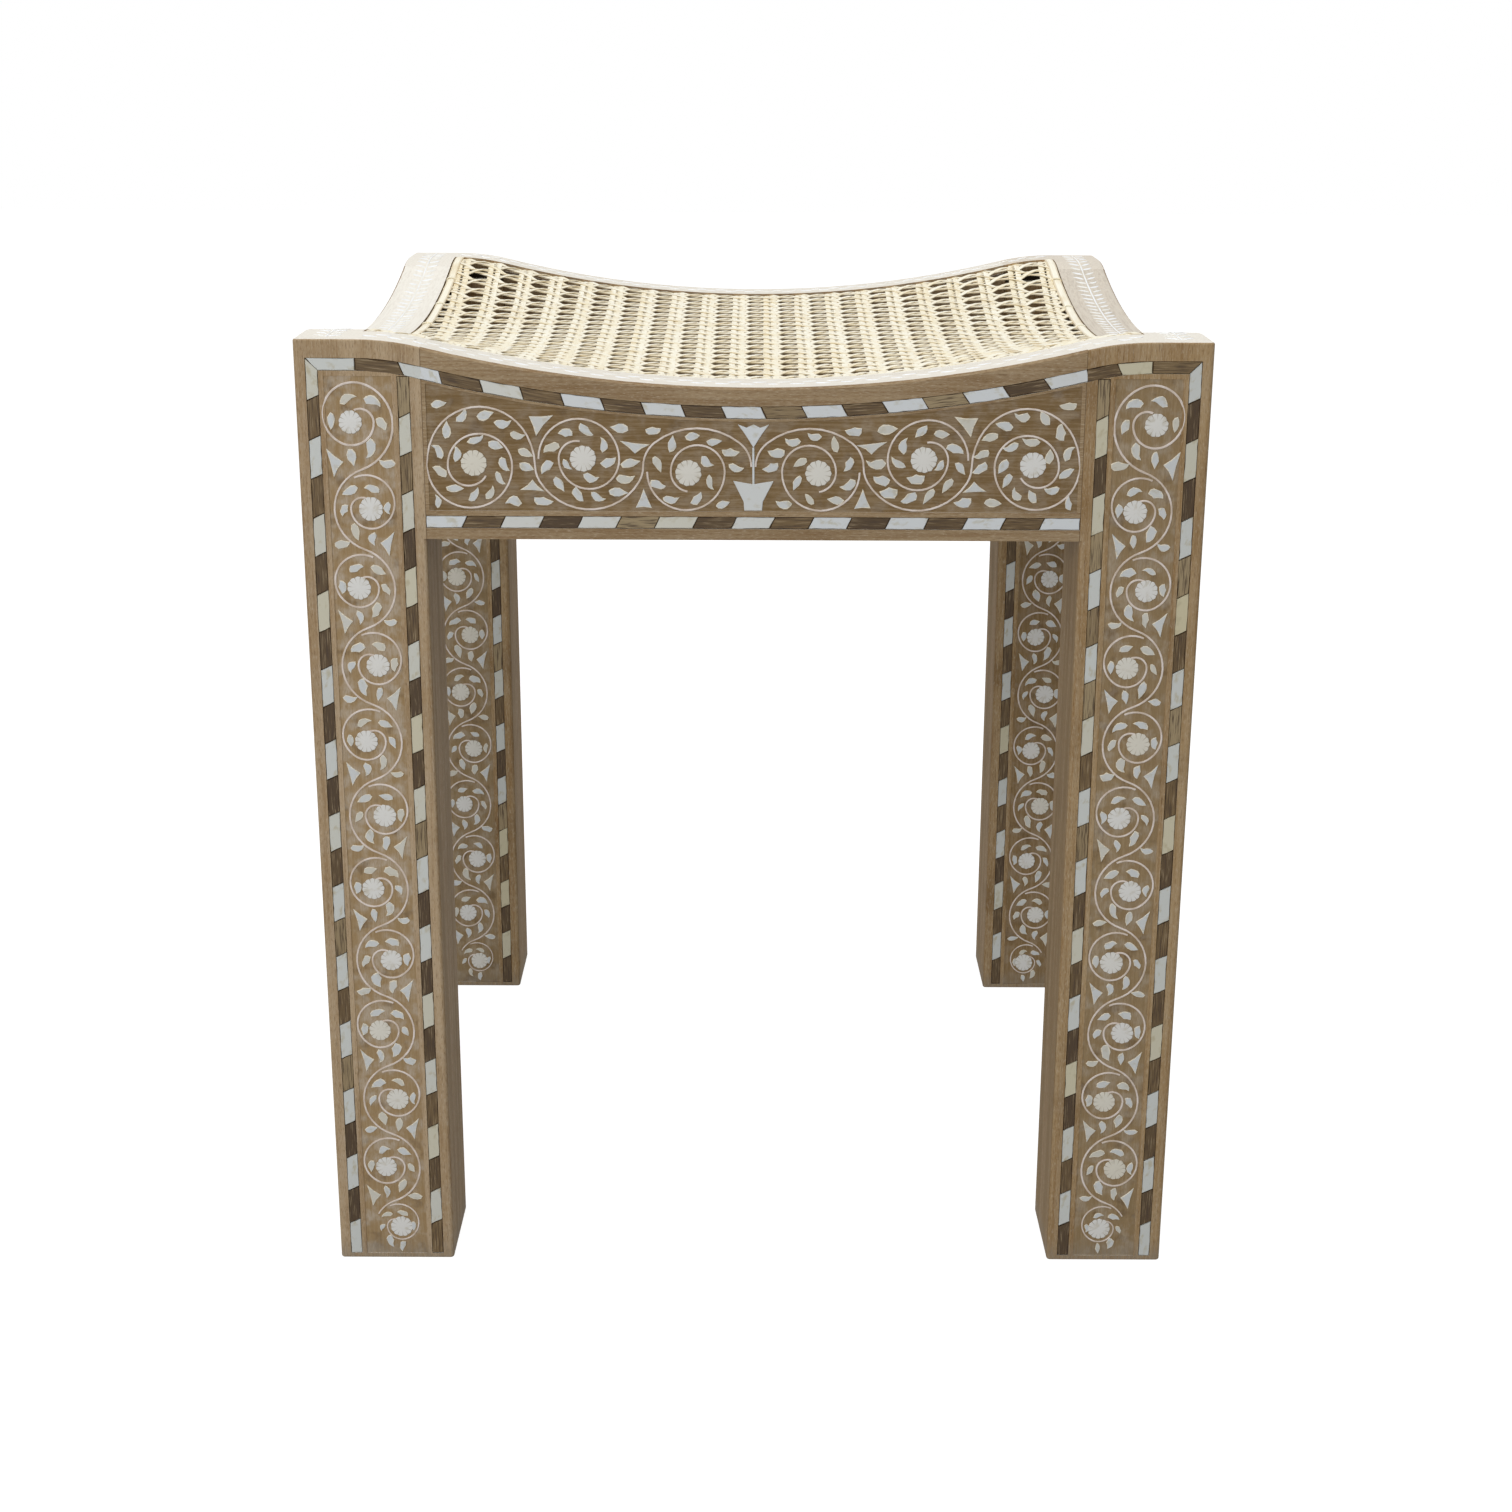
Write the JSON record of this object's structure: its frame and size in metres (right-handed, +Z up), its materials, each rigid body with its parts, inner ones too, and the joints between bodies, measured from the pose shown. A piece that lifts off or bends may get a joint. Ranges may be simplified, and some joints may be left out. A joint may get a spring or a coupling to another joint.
{
  "type": "inlaid cane-seat stool",
  "caption": "Low square wooden stool with straight square legs, hollowed seat rails, a woven cane seat and bone and dark wood inlay of tile strips and vine scrolls.",
  "frame": {"origin": "on the floor, at the middle of the rectangle that the four feet fill", "axes": "+Z up, +X to the stool's right as seen from the front, +Y from the front to the back"},
  "size_m": [0.45, 0.44, 0.502],
  "materials": {
    "frame_wood": "limed, oiled, fine open grain",
    "dark_wood": "oiled, coarse open grain",
    "bone": "sanded bone, soft sheen",
    "vine_inlay": "sanded filler line, matt",
    "cane": "natural peeled cane, soft sheen",
    "cane_binder": "natural peeled cane, soft sheen"
  },
  "bodies": {
    "root": {"back_apron": "frame_wood", "back_apron_bone_tiles": "bone", "back_apron_dark_tiles": "dark_wood", "back_apron_leaves": "bone", "back_apron_rim_inlay": "bone", "back_apron_rosettes": "bone", "back_apron_tulip": "bone", "back_apron_vines": "vine_inlay", "back_left_leg": "frame_wood", "back_left_leg_bone_tiles": "bone", "back_left_leg_dark_tiles": "dark_wood", "back_left_leg_leaves": "bone", "back_left_leg_rosettes": "bone", "back_left_leg_vines": "vine_inlay", "back_right_leg": "frame_wood", "back_right_leg_bone_tiles": "bone", "back_right_leg_dark_tiles": "dark_wood", "back_right_leg_leaves": "bone", "back_right_leg_rosettes": "bone", "back_right_leg_vines": "vine_inlay", "cane_binders": "cane_binder", "cane_panel": "cane", "front_apron": "frame_wood", "front_apron_bone_tiles": "bone", "front_apron_dark_tiles": "dark_wood", "front_apron_leaves": "bone", "front_apron_rim_inlay": "bone", "front_apron_rosettes": "bone", "front_apron_tulip": "bone", "front_apron_vines": "vine_inlay", "front_left_leg": "frame_wood", "front_left_leg_bone_tiles": "bone", "front_left_leg_dark_tiles": "dark_wood", "front_left_leg_leaves": "bone", "front_left_leg_rosettes": "bone", "front_left_leg_vines": "vine_inlay", "front_right_leg": "frame_wood", "front_right_leg_bone_tiles": "bone", "front_right_leg_dark_tiles": "dark_wood", "front_right_leg_leaves": "bone", "front_right_leg_rosettes": "bone", "front_right_leg_vines": "vine_inlay", "left_apron": "frame_wood", "left_apron_bone_tiles": "bone", "left_apron_dark_tiles": "dark_wood", "left_apron_leaves": "bone", "left_apron_rim_inlay": "bone", "left_apron_rosettes": "bone", "left_apron_tulip": "bone", "left_apron_vines": "vine_inlay", "right_apron": "frame_wood", "right_apron_bone_tiles": "bone", "right_apron_dark_tiles": "dark_wood", "right_apron_leaves": "bone", "right_apron_rim_inlay": "bone", "right_apron_rosettes": "bone", "right_apron_tulip": "bone", "right_apron_vines": "vine_inlay"}
  },
  "joints": []
}
